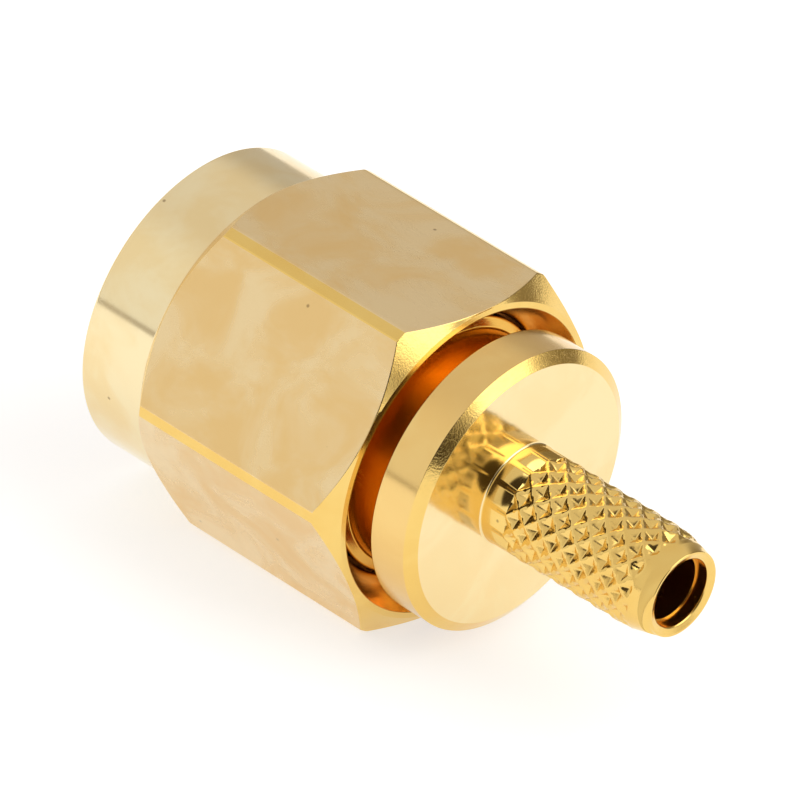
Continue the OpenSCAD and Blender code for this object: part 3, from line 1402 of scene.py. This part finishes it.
# --- Floor, light and camera ---
@dataclass(frozen=True)
class Card:
    """A soft light or dark card far away in the studio.

    Attributes:
        azimuth: direction of its middle from +X towards +Y, in degrees.
        elevation: height of its middle over the horizon, in degrees.
        reach: half its angle, in degrees.
        soft: width of its soft edge, in degrees.
        colour: its brightness and tint.
        squash: how much lower it is than it is wide.
    """

    azimuth: float
    elevation: float
    reach: float
    soft: float
    colour: Colour
    squash: float = 1.0

    def mask(self, tree: Tree, way: Socket) -> Socket:
        """Adds the nodes that show where the card is.

        Args:
            tree: the world's tree.
            way: direction of the ray.

        Returns:
            1 on the card and 0 off it.
        """
        az, el = math.radians(self.azimuth), math.radians(self.elevation)
        middle = (math.cos(el) * math.cos(az), math.cos(el) * math.sin(az), math.sin(el))
        off = tree.vector("SUBTRACT", way, middle)
        off = tree.vector("MULTIPLY", off, (1, 1, self.squash))
        far = tree.node("VectorMath", {"operation": "LENGTH"})
        tree.feed(far.inputs[0], off)
        inner, outer = (
            2 * math.sin(math.radians(self.reach + side * self.soft / 2) / 2) for side in (-1, 1))
        return tree.fade(far.outputs["Value"], inner, outer, 1.0, 0.0)


@dataclass
class Studio:
    """Floor, surroundings and camera.

    Attributes:
        azimuth: direction of the camera from -Y towards +X, in degrees.
        elevation: its height over the horizon, in degrees.
        roll: its turn about the line of sight, in degrees.
        distance: from the camera to the point that it looks at.
        lens: focal length of its lens.
        sensor: width of its sensor.
        clip: nearest and farthest distance that it sees, in metres.
        aim: that point, from the middle of the part's box.
        surround: brightness and tint of the room.
        cards: the room's light and dark cards, each laid over those before it.
        floor_half: half the width of the floor, in metres.
        floor_colour: colour of the floor.
        floor_roughness: roughness of the floor.
        floor_glow: how much light the floor gives to what sees it directly.
    """

    azimuth: float = 40.27
    elevation: float = 31.95
    roll: float = 7.33
    distance: float = 261.05
    lens: float = 521.55
    sensor: float = 36.0
    clip: tuple[float, float] = (0.01, 5.0)
    aim: Triple = (-0.82, -0.584, 0.997)
    surround: Colour = (0.80, 0.77, 0.74)
    cards: tuple[Card, ...] = (
        Card(-130, 18, 34, 30, (0.93, 0.92, 0.90)),
        Card(-125, 0.5, 42, 14, (0.50, 0.46, 0.42), squash=16),
        Card(124, 8, 24, 22, (0.56, 0.53, 0.50)),
        Card(82, 16, 31, 15, (0.27, 0.24, 0.20)),
        Card(25, 42, 27, 7, (2.4, 2.4, 2.3)),
        Card(-35, 20, 34, 9, (0.05, 0.04, 0.03)),
    )
    floor_half: float = 1.5
    floor_colour: Colour = (0.60, 0.60, 0.60)
    floor_roughness: float = 0.9
    floor_glow: float = 0.62

    def camera(self) -> Object:
        """Makes the camera.

        Returns:
            The camera.
        """
        az, el, roll = (math.radians(a) for a in (self.azimuth, self.elevation, self.roll))
        back = Vector((math.sin(az) * math.cos(el), -math.cos(az) * math.cos(el), math.sin(el)))
        right = Vector((math.cos(az), math.sin(az), 0))
        up = back.cross(right)
        turned_right = right * math.cos(roll) + up * math.sin(roll)
        turned_up = up * math.cos(roll) - right * math.sin(roll)
        middle = (CAD_BOX[0] + CAD_BOX[1]) / 2
        target = middle + Vector(self.aim) * METRES
        lens = bpy.data.cameras.new("camera")
        lens.lens = self.lens
        lens.sensor_width = self.sensor
        lens.clip_start, lens.clip_end = self.clip
        view = bpy.data.objects.new("camera", lens)
        turn = Matrix((turned_right, turned_up, back)).transposed().to_4x4()
        view.matrix_world = Matrix.Translation(target + back * self.distance * METRES) @ turn
        bpy.context.scene.collection.objects.link(view)
        bpy.context.scene.camera = view
        return view

    def surroundings(self) -> None:
        """Makes the world: an even pale room with soft light and dark cards."""
        world = bpy.data.worlds.new("studio")
        world.use_nodes = True
        bpy.context.scene.world = world
        tree = Tree(world.node_tree)
        world.node_tree.nodes.clear()
        way = tree.node("TexCoord").outputs["Generated"]
        colour: object = (*self.surround, 1)
        for card in self.cards:
            colour = tree.mix(card.mask(tree, way), colour, (*card.colour, 1))
        seen = tree.node("LightPath").outputs["Is Camera Ray"]
        colour = tree.mix(seen, colour, (1, 1, 1, 1))
        light = tree.node("Background", Color=colour, Strength=1.0)
        tree.node("OutputWorld", Surface=light.outputs[0])

    def floor(self) -> Object:
        """Makes the floor under the part.

        Returns:
            The floor.
        """
        half, level = self.floor_half, CAD_BOX[0].z
        corners = [(x * half, y * half, level) for x, y in ((-1, -1), (1, -1), (1, 1), (-1, 1))]
        mesh = bpy.data.meshes.new("floor")
        mesh.from_pydata(corners, [], [(0, 1, 2, 3)])
        paper, tree, base = new_material("floor_paper")
        base.inputs["Base Color"].default_value = (*self.floor_colour, 1)
        base.inputs["Roughness"].default_value = self.floor_roughness
        base.inputs["Specular IOR Level"].default_value = 0.0
        path = tree.node("LightPath")
        seen = tree.math("MAXIMUM", path.outputs["Is Camera Ray"], path.outputs["Is Glossy Ray"])
        seen = tree.math("MAXIMUM", seen, path.outputs["Is Transmission Ray"])
        base.inputs["Emission Color"].default_value = (1, 1, 1, 1)
        tree.feed(base.inputs["Emission Strength"], tree.math("MULTIPLY", seen, self.floor_glow))
        mesh.materials.append(paper)
        floor = bpy.data.objects.new("floor", mesh)
        bpy.context.scene.collection.objects.link(floor)
        return floor

    def build(self) -> None:
        """Makes the floor, the surroundings and the camera."""
        self.camera()
        self.surroundings()
        self.floor()
        bpy.context.scene.view_settings.view_transform = "Standard"


def report(piece: Object) -> None:
    """Logs a finished piece.

    Args:
        piece: the piece.
    """
    mesh = piece.data
    log.info("%s: %d points, %d faces", piece.name, len(mesh.vertices), len(mesh.polygons))


def main() -> None:
    """Builds the plug's looks, the floor, the light and the camera."""
    logging.basicConfig(level=logging.INFO, format="%(message)s")
    Studio().build()
    palette = Palette()
    report(CouplingNut().build(palette))
    report(PlugBody().build(palette))
    for piece in InnerPieces().build(palette):
        report(piece)


if __name__ == "__main__":
    main()
